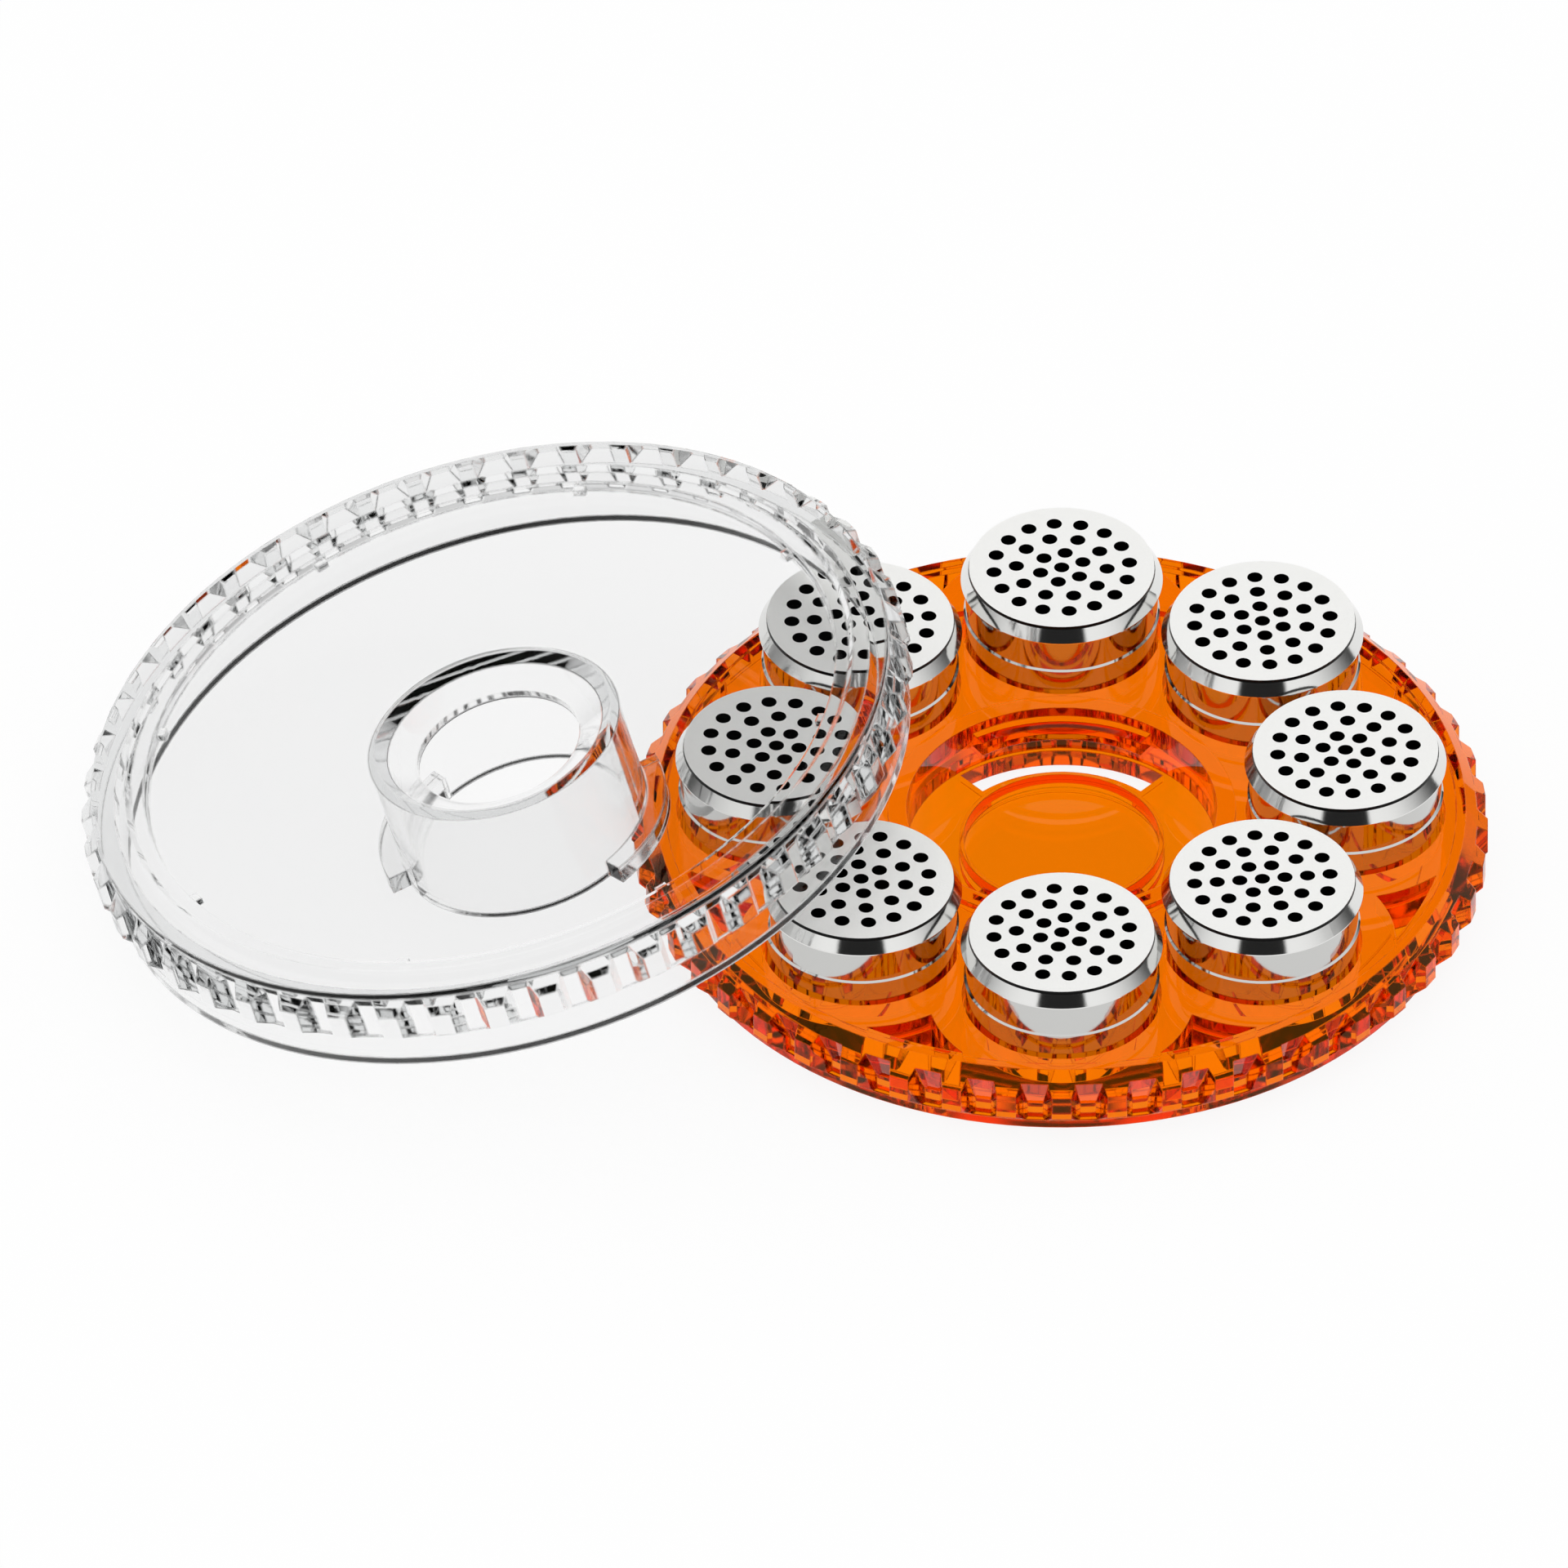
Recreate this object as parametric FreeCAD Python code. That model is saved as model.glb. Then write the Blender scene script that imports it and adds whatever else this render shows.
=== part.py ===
import FreeCAD, Part
import math
import os

# A round capsule magazine: a toothed tray with eight capsules and a funnel lid that leans on it.
# Millimetres and degrees. Z = 0 is the surface that the tray stands on, X = Y = 0 its centre.

# Capsules
capsule_count = 8
capsule_ring_radius = 23.3
cup_radius = 7.9
cup_height = 9.0
cup_wall = 0.4
cup_floor = 0.5
cup_rest_gap = 0.04
neck_inset = 0.45
shoulder_gap = 0.1
bead_height = 5.0
bead_size = 0.15
cap_fit = 0.06
cap_height = 1.35
cap_overhang = 0.4
cap_edge_height = 0.1
cap_top_wall = 0.17
sieve_thickness = 0.5
sieve_flange = 0.27
sieve_edge_inset = 0.06
hole_radius = 0.63
hole_ring_step = 1.865
hole_ring_counts = (1, 6, 10, 16)
hole_ring_turns = (0.0, -8.7, 15.3, 6.3)

# Tray
tray_height = 6.2
pocket_clearance = 0.3
pocket_depth = 2.85
rim_land = 1.7
rim_width = 0.8
deck_drop = 0.25
foot_ring_width = 3.4
foot_height = 0.6
hub_land = 0.8
hub_wall = 1.55
hub_rise = 0.5
well_floor = 2.15
seat_clearance = 0.15
seat_lip_width = 0.35
seat_lip_rise = 1.1
seat_drop = 0.25
ledge_width = 1.55
ledge_thickness = 1.3
ledge_drop = 0.6
ledge_span = 70.0
ledge_angles = (90.0, 270.0)
slot_inset = 0.35
slot_width = 2.7
slot_span = 84.0
recess_floor = 2.0
recess_wall = 2.8
recess_rim_wall = 1.4

# Teeth, the same pitch and tip circle on the tray and on the lid
tooth_count = 48
tray_tooth_depth = 1.8
lid_tooth_depth = 1.2
notch_floor_width = 1.25
notch_mouth_width = 3.0
notch_bite = 0.2
tray_tooth_start = 0.75
tray_tooth_low_bevel = 1.6
tray_tooth_high_bevel = 1.6
tray_ramp_height = 2.4
tray_ramp_slope = 2.6
lid_tooth_start = 2.95
lid_tooth_low_bevel = 0.95
lid_tooth_high_bevel = 1.1
lid_tooth_drop = 0.65
lid_notch_rise = 0.1
lid_ramp_height = 6.28
lid_ramp_slope = 2.6

# Lid, in its own frame with Z = 0 at the lower edge of its skirt
lid_height = 7.75
lid_headroom = 0.45
skirt_wall = 1.7
rim_top_width = 2.85
shelf_drop = 0.4
shelf_slope_width = 0.45
shelf_width = 1.15
plate_step_width = 0.15
plate_drop = 1.25
plate_thickness = 0.9
funnel_edge = 0.55
funnel_depth = 1.9
throat_inset = 0.15
throat_lip = 0.8
tube_clearance = 0.6
tube_wall = 1.2
tube_gap = 0.1
lug_clearance = 0.55
lug_gap = 0.45
lug_span = 70.0
lug_angles = (2.0, 182.0)
tab_count = 8
tab_width = 1.0
tab_length = 0.6
tab_height = 0.5

# Where the lid leans: its skirt stands on the surface and a lug lies on the tray's rim
lid_edge_inset = 11.3
lid_roll = -15.0
lid_rest_gap = 0.05
lean_limit = 45.0
lean_halvings = 40
skirt_samples = 720

# Sizes that follow from the ones above
pitch = 360.0 / tooth_count
capsule_pitch = 360.0 / capsule_count
pocket_radius = cup_radius + pocket_clearance
neck_radius = cup_radius - neck_inset
cap_radius = cup_radius + cap_overhang
cap_bore = neck_radius + cap_fit
cap_top_radius = cap_bore + cap_top_wall
sieve_plug_radius = cap_bore - cap_fit
sieve_radius = cap_top_radius - sieve_edge_inset
deck = tray_height - deck_drop
pocket_floor = deck - pocket_depth
cup_bottom = pocket_floor + cup_rest_gap
cup_top = cup_bottom + cup_height
cap_top = cup_top + sieve_thickness
cap_bottom = cap_top - cap_height
ring_top = cap_top - sieve_flange
shoulder = cap_bottom - shoulder_gap

tray_core_radius = capsule_ring_radius + pocket_radius + rim_land
tooth_tip_radius = tray_core_radius + tray_tooth_depth
foot_ring_inner_radius = tray_core_radius - foot_ring_width
recess_outer_radius = tray_core_radius - recess_rim_wall
hub_radius = capsule_ring_radius - pocket_radius - hub_land
well_radius = hub_radius - hub_wall
seat_radius = cup_radius + seat_clearance
seat_lip_radius = seat_radius + seat_lip_width
ledge_radius = well_radius - ledge_width
ledge_top = tray_height - ledge_drop
ledge_bottom = ledge_top - ledge_thickness
slot_outer_radius = well_radius - slot_inset
slot_inner_radius = slot_outer_radius - slot_width

lid_core_radius = tooth_tip_radius - lid_tooth_depth
skirt_inner_radius = lid_core_radius - skirt_wall
plate_top = lid_height - plate_drop
plate_bottom = plate_top - plate_thickness
closed_height = cap_top + lid_headroom - plate_bottom
rim_inner_radius = lid_core_radius - rim_top_width
shelf_outer_radius = rim_inner_radius - shelf_slope_width
shelf_inner_radius = shelf_outer_radius - shelf_width
plate_radius = shelf_inner_radius - plate_step_width
throat_radius = neck_radius - cup_wall - throat_inset
tube_radius = ledge_radius - tube_clearance
tube_inner_radius = tube_radius - tube_wall
tube_bottom = well_floor + tube_gap - closed_height
funnel_mouth_radius = tube_radius - funnel_edge
lug_radius = well_radius - lug_clearance
lug_top = ledge_bottom - lug_gap - closed_height
lid_offset = lid_core_radius + lid_edge_inset

# Plain overlaps for cutting tools and for pieces that grow out of a wall
cut_past = 1.0
root = 0.4

Z_AXIS = FreeCAD.Vector(0, 0, 1)
ORIGIN = FreeCAD.Vector(0, 0, 0)


def cylinder(radius, bottom, top):
    return Part.makeCylinder(radius, top - bottom, FreeCAD.Vector(0, 0, bottom))


def revolved(profile):
    points = [FreeCAD.Vector(radius, 0, height) for radius, height in profile]
    face = Part.Face(Part.makePolygon(points + points[:1]))
    return face.revolve(ORIGIN, Z_AXIS, 360)


def prism(outline, bottom, top):
    points = [FreeCAD.Vector(x, y, bottom) for x, y in outline]
    face = Part.Face(Part.makePolygon(points + points[:1]))
    return face.extrude(FreeCAD.Vector(0, 0, top - bottom))


def turned(shape, angle):
    copy = shape.copy()
    copy.rotate(ORIGIN, Z_AXIS, angle)
    return copy


def around(shape, count, first=0.0):
    return [turned(shape, first + 360.0 * index / count) for index in range(count)]


def moved(shape, x, y, z):
    copy = shape.copy()
    copy.translate(FreeCAD.Vector(x, y, z))
    return copy


def sector(inner, outer, bottom, top, middle, span):
    block = Part.makeCylinder(outer, top - bottom, FreeCAD.Vector(0, 0, bottom), Z_AXIS, span)
    block = block.cut(cylinder(inner, bottom - cut_past, top + cut_past))
    return turned(block, middle - span / 2)


def tooth_band(core, depth, start, low_bevel, high_bevel, top):
    profile = [
        (core - depth, start),
        (core, start),
        (tooth_tip_radius, start + low_bevel),
        (tooth_tip_radius, top - high_bevel),
        (core, top),
        (core - depth, top),
    ]
    return revolved(profile)


def notch(core, bottom, top_at_floor, top_slope):
    # A trapezoid in plan that widens outwards, under a roof that climbs with top_slope.
    floor = core - notch_bite
    mouth = tooth_tip_radius + cut_past
    spread = (notch_mouth_width - notch_floor_width) / (tooth_tip_radius - floor)
    half_floor = notch_floor_width / 2
    half_mouth = half_floor + spread * (mouth - floor) / 2
    roof_end = top_at_floor + top_slope * (mouth - floor)
    plan = [(floor, -half_floor), (mouth, -half_mouth), (mouth, half_mouth), (floor, half_floor)]
    column = prism(plan, bottom, roof_end + cut_past)
    side = [(floor, bottom), (mouth, bottom), (mouth, roof_end), (floor, top_at_floor)]
    points = [FreeCAD.Vector(x, -half_mouth - cut_past, z) for x, z in side]
    face = Part.Face(Part.makePolygon(points + points[:1]))
    return column.common(face.extrude(FreeCAD.Vector(0, 2 * (half_mouth + cut_past), 0)))


def cup():
    # A drawn cup with a bead round its side and a neck that the cap sits on.
    bead = cup_bottom + bead_height
    profile = [
        (0, cup_bottom),
        (cup_radius, cup_bottom),
        (cup_radius, bead - bead_size),
        (cup_radius + bead_size, bead),
        (cup_radius, bead + bead_size),
        (cup_radius, shoulder),
        (neck_radius, shoulder),
        (neck_radius, cup_top),
        (neck_radius - cup_wall, cup_top),
        (neck_radius - cup_wall, shoulder - cup_wall),
        (cup_radius - cup_wall, shoulder - cup_wall),
        (cup_radius - cup_wall, cup_bottom + cup_floor),
        (0, cup_bottom + cup_floor),
    ]
    return revolved(profile)


def cap():
    # A conical ring that pushes over the cup's neck.
    profile = [
        (cap_bore, cap_bottom),
        (cap_radius, cap_bottom),
        (cap_radius, cap_bottom + cap_edge_height),
        (cap_top_radius, ring_top),
        (cap_bore, ring_top),
    ]
    return revolved(profile)


def sieve_holes():
    hole = cylinder(hole_radius, cup_top - cut_past, cap_top + cut_past)
    holes = []
    for ring, count in enumerate(hole_ring_counts):
        placed = moved(hole, ring * hole_ring_step, 0, 0)
        holes.extend(around(placed, count, hole_ring_turns[ring]))
    return holes


def sieve():
    # A perforated disc pressed into the cap's ring, with a flange on top of the ring.
    profile = [
        (0, cup_top),
        (sieve_plug_radius, cup_top),
        (sieve_plug_radius, ring_top),
        (sieve_radius, ring_top),
        (sieve_radius, cap_top),
        (0, cap_top),
    ]
    return revolved(profile).cut(sieve_holes())


def tray_recess():
    # The cored corner between two pockets and the rim, with sides that follow the pockets.
    half = capsule_pitch / 2
    block = sector(hub_radius, recess_outer_radius, recess_floor, deck + cut_past, half, capsule_pitch)
    pocket_side = cylinder(pocket_radius + recess_wall, recess_floor - cut_past, deck + 2 * cut_past)
    pocket_side = moved(pocket_side, capsule_ring_radius, 0, 0)
    pieces = block.cut([pocket_side, turned(pocket_side, capsule_pitch)]).Solids
    return max(pieces, key=lambda piece: piece.CenterOfMass.Length)


def tray_centre():
    # The raised hub ring, the well inside it and the lipped seat for a capsule that is being filled.
    seat_floor = well_floor - seat_drop
    lip_top = well_floor + seat_lip_rise
    well_top = deck + hub_rise + cut_past
    hub = cylinder(hub_radius, deck - root, deck + hub_rise)
    well = cylinder(well_radius, well_floor, well_top)
    seat_lip = cylinder(seat_lip_radius, well_floor - root, lip_top)
    seat = cylinder(seat_radius, seat_floor, lip_top + cut_past)
    return hub, well, seat_lip, seat


def bayonet_ledges():
    ledge = sector(ledge_radius, well_radius + root, ledge_bottom, ledge_top, 0.0, ledge_span)
    return [turned(ledge, angle) for angle in ledge_angles]


def bayonet_slots():
    # Openings under the ledges, right through the tray's floor.
    top = well_floor + cut_past
    slot = sector(slot_inner_radius, slot_outer_radius, -cut_past, top, 0.0, slot_span)
    return [turned(slot, angle) for angle in ledge_angles]


def foot_recess():
    # The underside stands on its outer ring and on a round pad under the seat.
    ring = cylinder(foot_ring_inner_radius, -cut_past, foot_height)
    return ring.cut(cylinder(seat_lip_radius, -2 * cut_past, foot_height + cut_past))


def base_tray():
    body = cylinder(tray_core_radius, 0, deck)
    band = tooth_band(
        tray_core_radius,
        rim_width,
        tray_tooth_start,
        tray_tooth_low_bevel,
        tray_tooth_high_bevel,
        tray_height,
    )
    hub, well, seat_lip, seat = tray_centre()
    body = body.fuse([band, hub]).removeSplitter()
    pocket = cylinder(pocket_radius, pocket_floor, deck + hub_rise + cut_past)
    pocket = moved(pocket, capsule_ring_radius, 0, 0)
    tooth_gap = notch(tray_core_radius, tray_tooth_start + notch_bite, tray_ramp_height, tray_ramp_slope)
    cuts = [well, foot_recess()]
    cuts.extend(around(pocket, capsule_count))
    cuts.extend(around(tray_recess(), capsule_count))
    cuts.extend(around(tooth_gap, tooth_count, pitch / 2))
    body = body.cut(cuts)
    body = body.fuse([seat_lip] + bayonet_ledges())
    body = body.cut([seat] + bayonet_slots())
    return body.removeSplitter()


def lid_profile():
    throat_top = plate_top - funnel_depth
    throat_bottom = throat_top - throat_lip
    cone_slope = funnel_depth / (funnel_mouth_radius - throat_radius)
    cone_rise = cone_slope * (tube_inner_radius - throat_radius)
    return [
        (lid_core_radius, 0),
        (lid_core_radius, lid_height),
        (rim_inner_radius, lid_height),
        (shelf_outer_radius, lid_height - shelf_drop),
        (shelf_inner_radius, lid_height - shelf_drop),
        (plate_radius, plate_top),
        (funnel_mouth_radius, plate_top),
        (throat_radius, throat_top),
        (throat_radius, throat_bottom),
        (tube_inner_radius, throat_bottom + cone_rise),
        (tube_inner_radius, tube_bottom),
        (tube_radius, tube_bottom),
        (tube_radius, plate_bottom),
        (skirt_inner_radius, plate_bottom),
        (skirt_inner_radius, 0),
    ]


def lid_lugs():
    lug = sector(tube_radius - root, lug_radius, tube_bottom, lug_top, 0.0, lug_span)
    return [turned(lug, angle) for angle in lug_angles]


def lid_tabs():
    inner = plate_radius - tab_length
    outer = plate_radius + root
    half = tab_width / 2
    outline = [(inner, -half), (outer, -half), (outer, half), (inner, half)]
    return around(prism(outline, plate_top - root, plate_top + tab_height), tab_count)


def lid_upright():
    band = tooth_band(
        lid_core_radius,
        root,
        lid_tooth_start,
        lid_tooth_low_bevel,
        lid_tooth_high_bevel,
        lid_height - lid_tooth_drop,
    )
    body = revolved(lid_profile()).fuse([band] + lid_lugs() + lid_tabs())
    notch_bottom = lid_tooth_start + lid_notch_rise
    tooth_gap = notch(lid_core_radius, notch_bottom, lid_ramp_height, lid_ramp_slope)
    return body.cut(around(tooth_gap, tooth_count, pitch / 2)).removeSplitter()


def skirt_gap(lean):
    # The least height of the leaning skirt's lower edge over the cap that it crosses.
    cap_x = capsule_ring_radius * math.cos(math.radians(180 - capsule_pitch))
    cap_y = capsule_ring_radius * math.sin(math.radians(180 - capsule_pitch))
    lowest = lid_height + cap_top
    for index in range(skirt_samples):
        turn = math.pi * index / skirt_samples
        for radius in (skirt_inner_radius, lid_core_radius):
            x = radius * math.cos(turn) * math.cos(lean) - lid_offset
            y = radius * math.sin(turn)
            height = (lid_core_radius + radius * math.cos(turn)) * math.sin(lean)
            if math.hypot(x - cap_x, y - cap_y) < cap_radius:
                lowest = min(lowest, height - cap_top)
    return lowest


def lug_over_rim(lean):
    # The height of the leaning lug's underside over the outer edge of the tray's rim.
    run = lid_offset - tray_core_radius
    under = lid_core_radius * math.sin(lean) + run * math.tan(lean) + tube_bottom / math.cos(lean)
    return under - tray_height


def lean_angle():
    # Halves the span of angles until the lid just clears what lies under it.
    low = 0.0
    high = math.radians(lean_limit)
    for _ in range(lean_halvings):
        middle = (low + high) / 2
        if min(lug_over_rim(middle), skirt_gap(middle)) < lid_rest_gap:
            low = middle
        else:
            high = middle
    return high


def lid():
    lean = lean_angle()
    body = turned(lid_upright(), lid_roll)
    body.rotate(ORIGIN, FreeCAD.Vector(0, 1, 0), -math.degrees(lean))
    return moved(body, -lid_offset, 0, lid_core_radius * math.sin(lean))


def on_ring(shape, index):
    return turned(moved(shape, capsule_ring_radius, 0, 0), capsule_pitch * index)


def save(shape, name):
    shape.exportStep(os.path.join("parts", name + ".step"))


os.makedirs("parts", exist_ok=True)
save(base_tray(), "base_tray")
save(lid(), "lid")
one_cup = cup()
one_cap = cap()
one_sieve = sieve()
for number in range(capsule_count):
    save(on_ring(one_cup, number), f"capsule_cup_{number + 1}")
    save(on_ring(one_cap, number), f"capsule_cap_{number + 1}")
    save(on_ring(one_sieve, number), f"capsule_sieve_{number + 1}")
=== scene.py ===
import math
import bpy
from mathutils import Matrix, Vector

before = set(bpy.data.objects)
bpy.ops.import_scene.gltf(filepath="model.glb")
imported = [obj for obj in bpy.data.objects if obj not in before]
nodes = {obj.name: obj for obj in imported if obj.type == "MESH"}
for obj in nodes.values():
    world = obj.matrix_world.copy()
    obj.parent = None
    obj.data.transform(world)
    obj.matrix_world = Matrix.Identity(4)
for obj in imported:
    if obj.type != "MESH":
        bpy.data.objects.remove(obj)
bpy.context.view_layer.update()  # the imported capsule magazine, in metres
scene = bpy.context.scene
print("frame loaded:", len(nodes), "nodes")


# small helpers

def toLinear(hexColour):
    parts = [int(hexColour[start:start + 2], 16) / 255 for start in (1, 3, 5)]
    linear = [part / 12.92 if part <= 0.04045 else ((part + 0.055) / 1.055) ** 2.4 for part in parts]
    return (*linear, 1.0)


def addNode(tree, kind, settings=None, links=None):
    node = tree.nodes.new(kind)
    for name, value in (settings or {}).items():
        if isinstance(name, int) or name in node.inputs:
            node.inputs[name].default_value = value
        else:
            setattr(node, name, value)
    for name, socket in (links or {}).items():
        tree.links.new(socket, node.inputs[name])
    return node


def newMaterial(name):
    material = bpy.data.materials.new(name)
    material.use_nodes = True
    material.node_tree.nodes.clear()
    return material, material.node_tree


mmInMetre = 1000


def perMetre(sizeMm):
    return mmInMetre / sizeMm  # texture scale for features of that size


# transparent plastic, injection moulded polycarbonate
# the eye sees through to the floor, redder where the wall is thick, with dark and bright lines at each edge

trayPlastic = {
    "name": "polycarbonate moulded orange",
    "tint": "#FF8400",
    "gloss": "#FFA020",  # the tray mirrors in its own colour
    "depthColour": "#FFA000",
    "depth": 60.0,  # per metre of plastic
    "ior": 1.585,
    "roughness": 0.03,
    "edgeMm": 0.15,  # rounding left by the mould
    "flowMm": 9.0,  # slow waves left by the flow into the mould
    "flowHeight": 0.00002,  # metres
    "flowDetail": 1.0,
}

lidPlastic = {
    "name": "polycarbonate moulded clear",
    "tint": "#FDFDFD",
    "gloss": "#606060",  # mirrors weakly, so that the tray shows through
    "depthColour": "#E2E3E3",
    "depth": 80.0,
    "ior": 1.52,
    "roughness": 0.0,
    "edgeMm": 0.3,
    "flowMm": 12.0,
    "flowHeight": 0.00001,
    "flowDetail": 1.0,
}


def mouldedPlastic(look):
    material, tree = newMaterial(look["name"])
    place = addNode(tree, "ShaderNodeTexCoord")
    flow = addNode(tree, "ShaderNodeTexNoise", {
        "Scale": perMetre(look["flowMm"]),
        "Detail": look["flowDetail"],
    }, {"Vector": place.outputs["Object"]})
    edge = addNode(tree, "ShaderNodeBevel", {"Radius": look["edgeMm"] / mmInMetre})
    wave = addNode(tree, "ShaderNodeBump", {"Strength": 1.0, "Distance": look["flowHeight"]},
                   {"Height": flow.outputs["Fac"], "Normal": edge.outputs["Normal"]})
    surface = addNode(tree, "ShaderNodeBsdfPrincipled", {
        "Base Color": toLinear(look["tint"]),
        "Specular Tint": toLinear(look["gloss"]),
        "IOR": look["ior"],
        "Roughness": look["roughness"],
        "Transmission Weight": 1.0,
    }, {"Normal": wave.outputs["Normal"]})
    inside = addNode(tree, "ShaderNodeVolumeAbsorption", {
        "Color": toLinear(look["depthColour"]),
        "Density": look["depth"],
    })
    addNode(tree, "ShaderNodeOutputMaterial", None, {
        "Surface": surface.outputs["BSDF"],
        "Volume": inside.outputs["Volume"],
    })
    return material


# capsule metal, deep drawn and tumbled aluminium
# the eye sees a grey mirror on the cups, rings painted lighter than the cups as a painted highlight, white
# sieves with a fine grain and black holes, whose black is painted shade on every inside face

cupMetal = {
    "name": "aluminium drawn",
    "colour": "#C8C8C6",
    "roughness": 0.07,
    "grainMm": 0.35,
    "grainHeight": 0.0000012,  # metres
}

# turned aluminium like the cups, its colour made lighter than theirs as a painted highlight standing in for
# brighter light
ringLitLook = {
    "name": "aluminium turned, painted brighter",
    "colour": "#E2E2E0",
    "roughness": 0.09,
    "grainMm": 0.35,
    "grainHeight": 0.0000012,
}

sieveMetal = {
    "name": "aluminium rolled sheet",
    "colour": "#FAFAF8",
    "roughness": 0.55,
    "grainMm": 0.2,  # coarser than the real grain, so that it shows
    "grainHeight": 0.00002,
}

# near-black metal for the inside faces, hole walls and sieve underside: painted shade where the capsule gets
# no light
paintedShadeLook = {
    "name": "aluminium painted shade inside",
    "colour": "#1C1C1C",
    "roughness": 0.45,
    "grainMm": 0.3,
    "grainHeight": 0.000004,
}


grainDetail = 3.0  # the same tumbling gave all the metal its grain


def brightMetal(look):
    material, tree = newMaterial(look["name"])
    place = addNode(tree, "ShaderNodeTexCoord")
    grain = addNode(tree, "ShaderNodeTexNoise", {
        "Scale": perMetre(look["grainMm"]),
        "Detail": grainDetail,
    }, {"Vector": place.outputs["Object"]})
    relief = addNode(tree, "ShaderNodeBump", {"Strength": 1.0, "Distance": look["grainHeight"]},
                     {"Height": grain.outputs["Fac"]})
    surface = addNode(tree, "ShaderNodeBsdfPrincipled", {
        "Base Color": toLinear(look["colour"]),
        "Metallic": 1.0,
        "Roughness": look["roughness"],
    }, {"Normal": relief.outputs["Normal"]})
    addNode(tree, "ShaderNodeOutputMaterial", None, {"Surface": surface.outputs["BSDF"]})
    return material


faces = {
    "level": 0.99,  # a normal this upright is a level face
    "inward": -0.3,  # a normal this far towards the axis is an inside face
    "topDepth": 0.0001,  # metres under the highest point that still count as the top
}


def dress(piece, materials, choose):
    corners = [vertex.co for vertex in piece.data.vertices]
    low, high = [
        Vector([pick(corner[axis] for corner in corners) for axis in range(3)])
        for pick in (min, max)
    ]
    middle = (low + high) / 2
    piece.data.materials.clear()
    for material in materials:
        piece.data.materials.append(material)
    for polygon in piece.data.polygons:
        outward = (polygon.center - middle).to_2d()
        towards = polygon.normal.to_2d().dot(outward.normalized()) if outward.length > 0 else 0.0
        inner = towards < faces["inward"]
        level = polygon.normal.z > faces["level"]
        onTop = level and polygon.center.z > high.z - faces["topDepth"]
        polygon.material_index = choose(inner, level, onTop)


orangePlastic = mouldedPlastic(trayPlastic)
clearPlastic = mouldedPlastic(lidPlastic)
drawnMetal = brightMetal(cupMetal)
ringLitMetal = brightMetal(ringLitLook)
rolledSheet = brightMetal(sieveMetal)
paintedShadeMetal = brightMetal(paintedShadeLook)
dress(nodes["base_tray"], [orangePlastic], lambda inner, level, onTop: 0)
dress(nodes["lid"], [clearPlastic], lambda inner, level, onTop: 0)
for name, piece in nodes.items():
    if name.startswith("capsule_cup"):  # painted shade on the wall and bottom inside
        dress(piece, [drawnMetal, paintedShadeMetal], lambda inner, level, onTop: int(inner or (level and not onTop)))
    if name.startswith("capsule_cap"):
        dress(piece, [ringLitMetal, paintedShadeMetal], lambda inner, level, onTop: int(inner))
    if name.startswith("capsule_sieve"):  # only the top is bright; the hole walls and underside get painted shade, so the holes stay black
        dress(piece, [rolledSheet, paintedShadeMetal], lambda inner, level, onTop: int(not onTop))
print("plastic and metal on")


# camera, a long lens from the front and above

camera = {
    "elevation": 40.0,
    "lookAt": (-0.0228, 0.0, 0.008972),
    "width": 0.12874,  # metres across the picture
    "distance": 0.6,
}
tilt = math.radians(camera["elevation"])
backward = Vector((0, -math.cos(tilt), math.sin(tilt)))
lens = bpy.data.cameras.new("camera")
lens.type = "ORTHO"
lens.ortho_scale = camera["width"]
viewer = bpy.data.objects.new("camera", lens)
viewer.location = Vector(camera["lookAt"]) + backward * camera["distance"]
viewer.rotation_mode = "QUATERNION"
viewer.rotation_quaternion = (-backward).to_track_quat("-Z", "Y")
scene.collection.objects.link(viewer)
scene.camera = viewer
print("camera set")


# white table

table = {
    "name": "table",
    "side": 6.0,  # metres
    "height": -0.00005,  # a hair under the tray, so that the two faces stay apart
    "colour": "#FFFFFF",
    "shadowShare": 0.1,  # the rest is plain white to the eye
}


def whiteTable(look):
    material, tree = newMaterial("paper white")
    path = addNode(tree, "ShaderNodeLightPath")
    seen = addNode(tree, "ShaderNodeMath", {"operation": "ADD"},
                   {0: path.outputs["Is Camera Ray"], 1: path.outputs["Is Glossy Ray"]})
    seenAll = addNode(tree, "ShaderNodeMath", {"operation": "ADD", "use_clamp": True},
                      {0: seen.outputs[0], 1: path.outputs["Is Transmission Ray"]})
    share = addNode(tree, "ShaderNodeMath", {"operation": "MULTIPLY", 1: 1 - look["shadowShare"]},
                    {0: seenAll.outputs[0]})
    paper = addNode(tree, "ShaderNodeBsdfDiffuse", {"Color": toLinear(look["colour"])})
    glow = addNode(tree, "ShaderNodeEmission", {"Color": toLinear(look["colour"]), "Strength": 1.0})
    both = addNode(tree, "ShaderNodeMixShader", None,
                   {0: share.outputs[0], 1: paper.outputs[0], 2: glow.outputs[0]})
    addNode(tree, "ShaderNodeOutputMaterial", None, {"Surface": both.outputs[0]})
    return material


bpy.ops.mesh.primitive_plane_add(size=table["side"], location=(0, 0, table["height"]))
floor = bpy.context.object
floor.name = table["name"]
floor.data.materials.append(whiteTable(table))


# studio, a white tent that is dark near the table, open at the front and has two black cards behind

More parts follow.
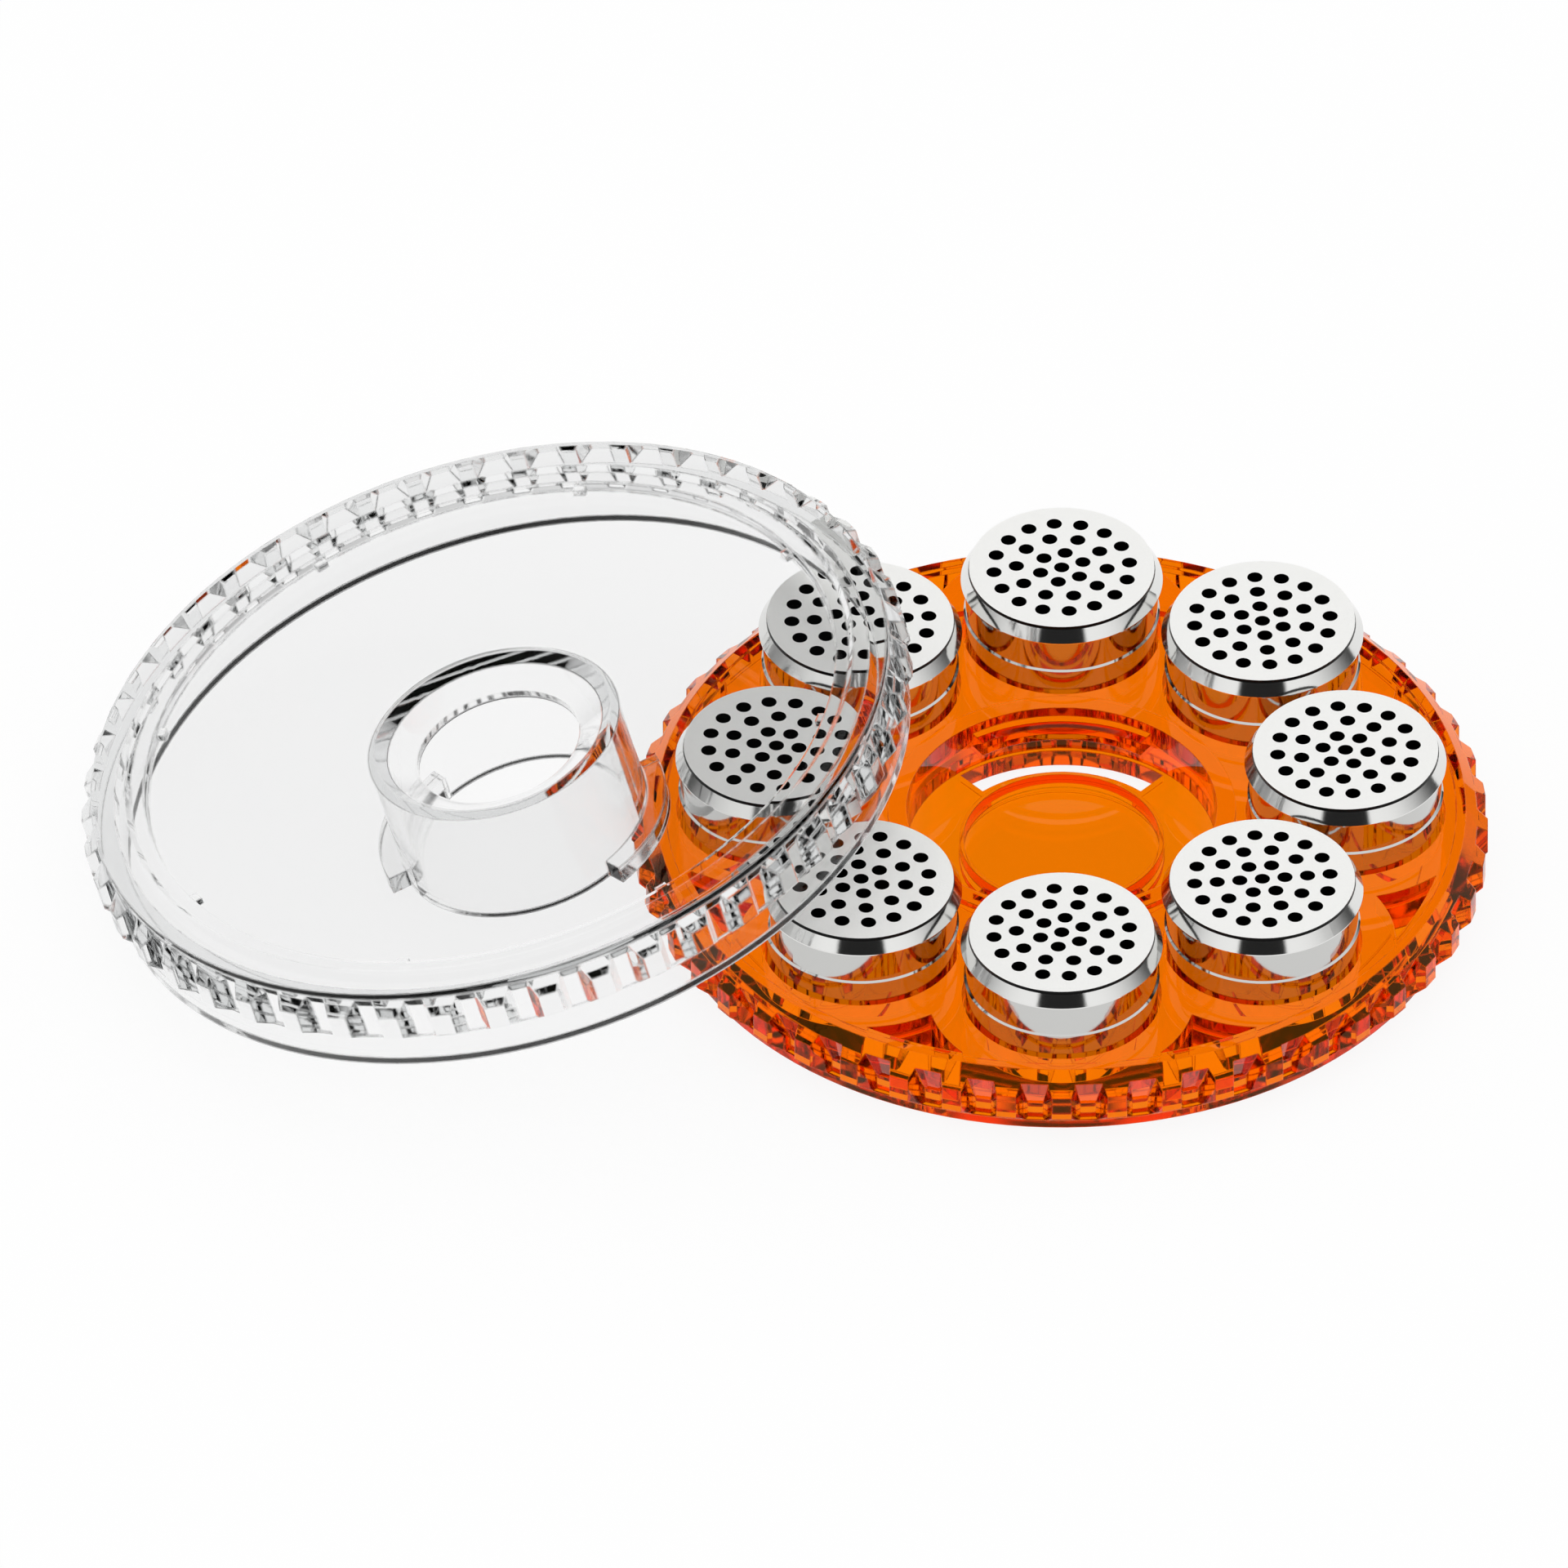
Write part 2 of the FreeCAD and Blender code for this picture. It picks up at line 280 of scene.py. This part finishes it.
studio = {
    "white": 1.05,
    "horizon": 0.05,
    "whiteFrom": 23.0,  # degrees over the horizon
    "cloth": "#FFFFFF",
    "dark": (  # degrees, wide and high are half sizes, facing is -1 in front and 1 behind
        {"facing": -1, "side": 0.0, "elevation": 24.6, "wide": 23.0, "high": 9.0},  # the opening
        {"facing": 1, "side": 0.0, "elevation": 40.0, "wide": 4.0, "high": 2.5},  # mirrored in the tray
        {"facing": 1, "side": -22.3, "elevation": 34.1, "wide": 6.0, "high": 4.0},  # mirrored in the lid
    ),
    "darkEdge": 5.0,  # degrees of soft edge
    "darkGrey": 0.02,
    "mirrorTurns": 10,  # light turns many times inside the plastic
}


def tentWorld(look):
    world = bpy.data.worlds.new("tent")
    world.use_nodes = True
    tree = world.node_tree
    tree.nodes.clear()
    place = addNode(tree, "ShaderNodeTexCoord")
    way = addNode(tree, "ShaderNodeSeparateXYZ", None, {0: place.outputs["Generated"]})
    rise = addNode(tree, "ShaderNodeMath", {"operation": "ARCSINE"}, {0: way.outputs["Z"]})
    path = addNode(tree, "ShaderNodeLightPath")
    cloth = addNode(tree, "ShaderNodeMapRange", {
        "interpolation_type": "SMOOTHSTEP",
        "From Min": 0.0,
        "From Max": math.radians(look["whiteFrom"]),
        "To Min": look["horizon"],
        "To Max": look["white"],
    }, {"Value": rise.outputs[0]})
    light = cloth.outputs["Result"]
    for patch in look["dark"]:
        depth = addNode(tree, "ShaderNodeMath", {"operation": "MULTIPLY", 1: patch["facing"]},
                        {0: way.outputs["Y"]})
        side = addNode(tree, "ShaderNodeMath", {"operation": "ARCTAN2"},
                       {0: way.outputs["X"], 1: depth.outputs[0]})
        within = []
        for angle, middle, half in (
            (rise.outputs[0], patch["elevation"], patch["high"]),
            (side.outputs[0], patch["side"], patch["wide"]),
        ):
            off = addNode(tree, "ShaderNodeMath", {"operation": "SUBTRACT", 1: math.radians(middle)},
                          {0: angle})
            away = addNode(tree, "ShaderNodeMath", {"operation": "ABSOLUTE"}, {0: off.outputs[0]})
            within.append(addNode(tree, "ShaderNodeMapRange", {
                "interpolation_type": "SMOOTHSTEP",
                "From Min": math.radians(half + look["darkEdge"]),
                "From Max": math.radians(half),
            }, {"Value": away.outputs[0]}))
        share = addNode(tree, "ShaderNodeMath", {"operation": "MULTIPLY"},
                        {0: within[0].outputs[0], 1: within[1].outputs[0]})
        grey = addNode(tree, "ShaderNodeMapRange", {"To Max": look["darkGrey"]},
                       {"Value": share.outputs[0], "To Min": light})
        light = grey.outputs["Result"]
    tent = addNode(tree, "ShaderNodeBackground", {"Color": toLinear(look["cloth"])}, {"Strength": light})
    plain = addNode(tree, "ShaderNodeBackground", {"Color": toLinear(look["cloth"]), "Strength": 1.0})
    both = addNode(tree, "ShaderNodeMixShader", None,
                   {0: path.outputs["Is Camera Ray"], 1: tent.outputs[0], 2: plain.outputs[0]})
    addNode(tree, "ShaderNodeOutputWorld", None, {"Surface": both.outputs[0]})
    return world


scene.world = tentWorld(studio)
scene.cycles.glossy_bounces = studio["mirrorTurns"]
scene.view_settings.view_transform = "Standard"
print("table and tent ready")
